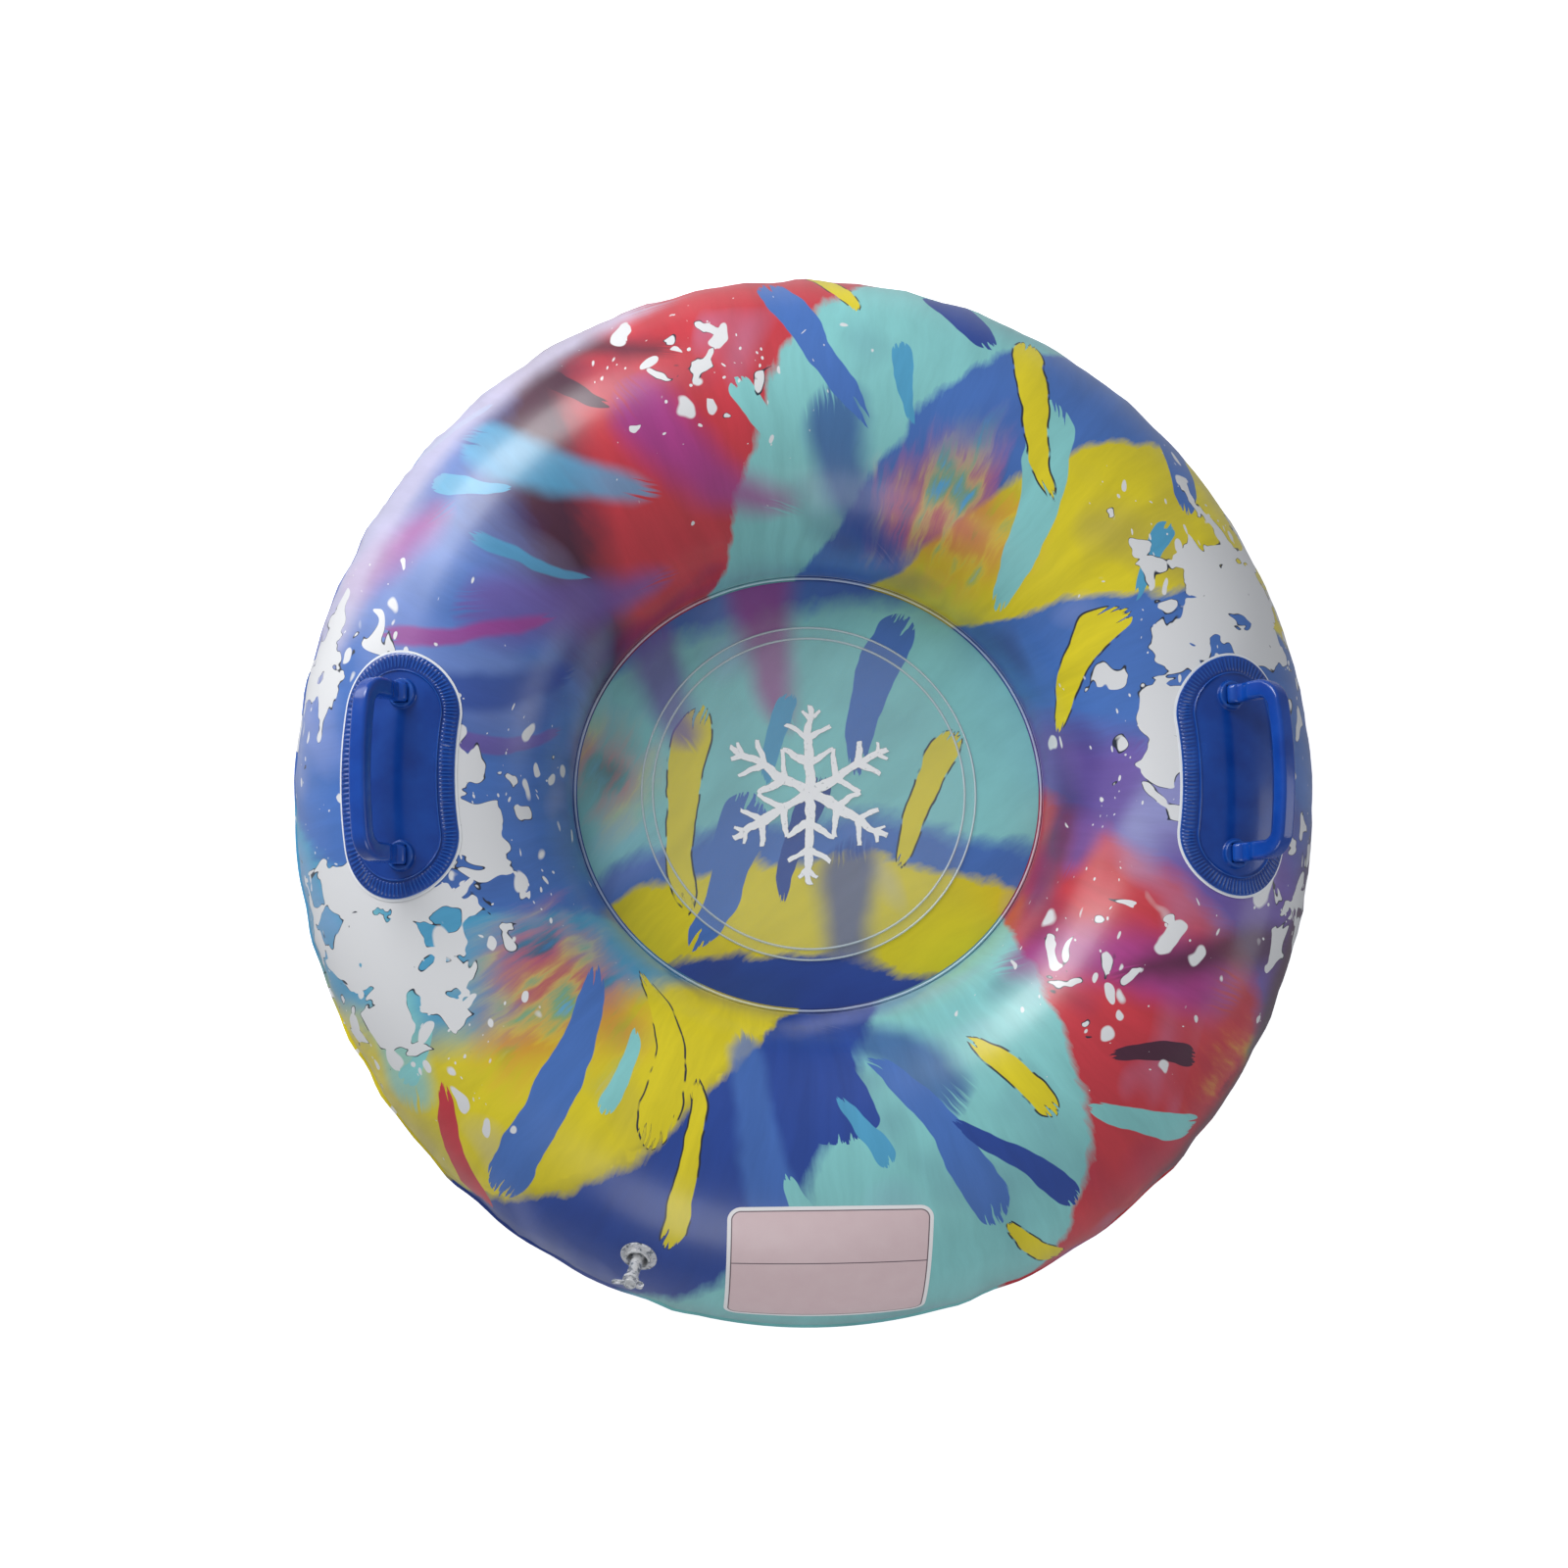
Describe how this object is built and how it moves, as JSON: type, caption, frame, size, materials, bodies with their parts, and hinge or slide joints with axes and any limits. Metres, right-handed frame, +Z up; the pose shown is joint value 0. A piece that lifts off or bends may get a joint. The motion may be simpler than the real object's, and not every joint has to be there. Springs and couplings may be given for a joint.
{
  "type": "snow tube",
  "caption": "Inflatable ring for sliding on snow, with a welded floor, moulded hand grips that fold, and a push-in air valve with a plug.",
  "frame": {"origin": "on the ring's axis, on the ground that the tube lies on", "axes": "+Z up through the ring's hole, +X towards the right handle, +Y away from the valve's side"},
  "size_m": [1.04, 1.072, 0.3571],
  "materials": {
    "printed_pvc": "printed satin PVC film in splashes of blue, aqua, yellow, red and white",
    "plain_blue_pvc": "plain satin PVC film",
    "floor_pvc": "printed satin PVC film",
    "clear_disc_pvc": "clear PVC film",
    "white_patch_pvc": "satin white PVC",
    "royal_blue_pvc": "moulded semi-gloss PVC with a ribbed weld border",
    "royal_blue_grip_pvc": "moulded semi-gloss PVC",
    "clear_valve_pvc": "clear soft PVC"
  },
  "bodies": {
    "root": {"ring_top_skin": "printed_pvc", "ring_bottom_skin": "plain_blue_pvc", "seat_floor": "floor_pvc", "centre_disc": "clear_disc_pvc", "left_handle_patch": "white_patch_pvc", "right_handle_patch": "white_patch_pvc", "left_handle_pad": "royal_blue_pvc", "right_handle_pad": "royal_blue_pvc", "valve_flange": "clear_valve_pvc"},
    "left_grip": {"left_handle_grip": "royal_blue_grip_pvc"},
    "right_grip": {"right_handle_grip": "royal_blue_grip_pvc"},
    "valve_stem": {"valve_stem": "clear_valve_pvc", "valve_strap": "clear_valve_pvc"},
    "valve_plug": {"valve_plug": "clear_valve_pvc"},
    "valve_flap": {"valve_flap": "clear_valve_pvc"}
  },
  "joints": [
    {"name": "left_grip_fold", "type": "hinge", "parent": "root", "child": "left_grip", "pos_m": [-0.40533, 0, 0.29698], "axis": [0, 1, 0], "range_deg": [-56, 94], "stiffness_Nm_per_rad": 1},
    {"name": "right_grip_fold", "type": "hinge", "parent": "root", "child": "right_grip", "pos_m": [0.40533, 0, 0.29698], "axis": [0, -1, 0], "range_deg": [-56, 94], "stiffness_Nm_per_rad": 1},
    {"name": "valve_stem_push", "type": "slide", "parent": "root", "child": "valve_stem", "axis": [-0.2631, -0.6782, 0.6862], "range_m": [-0.024, 0]},
    {"name": "valve_plug_pull", "type": "slide", "parent": "valve_stem", "child": "valve_plug", "axis": [-0.2631, -0.6782, 0.6862], "range_m": [0, 0.014], "deforming": ["valve_strap"]},
    {"name": "valve_flap_open", "type": "hinge", "parent": "valve_stem", "child": "valve_flap", "pos_m": [-0.1741, -0.44885, 0.23875], "axis": [0.9323, -0.3616, 0], "range_deg": [0, 40], "stiffness_Nm_per_rad": 0.0002}
  ]
}
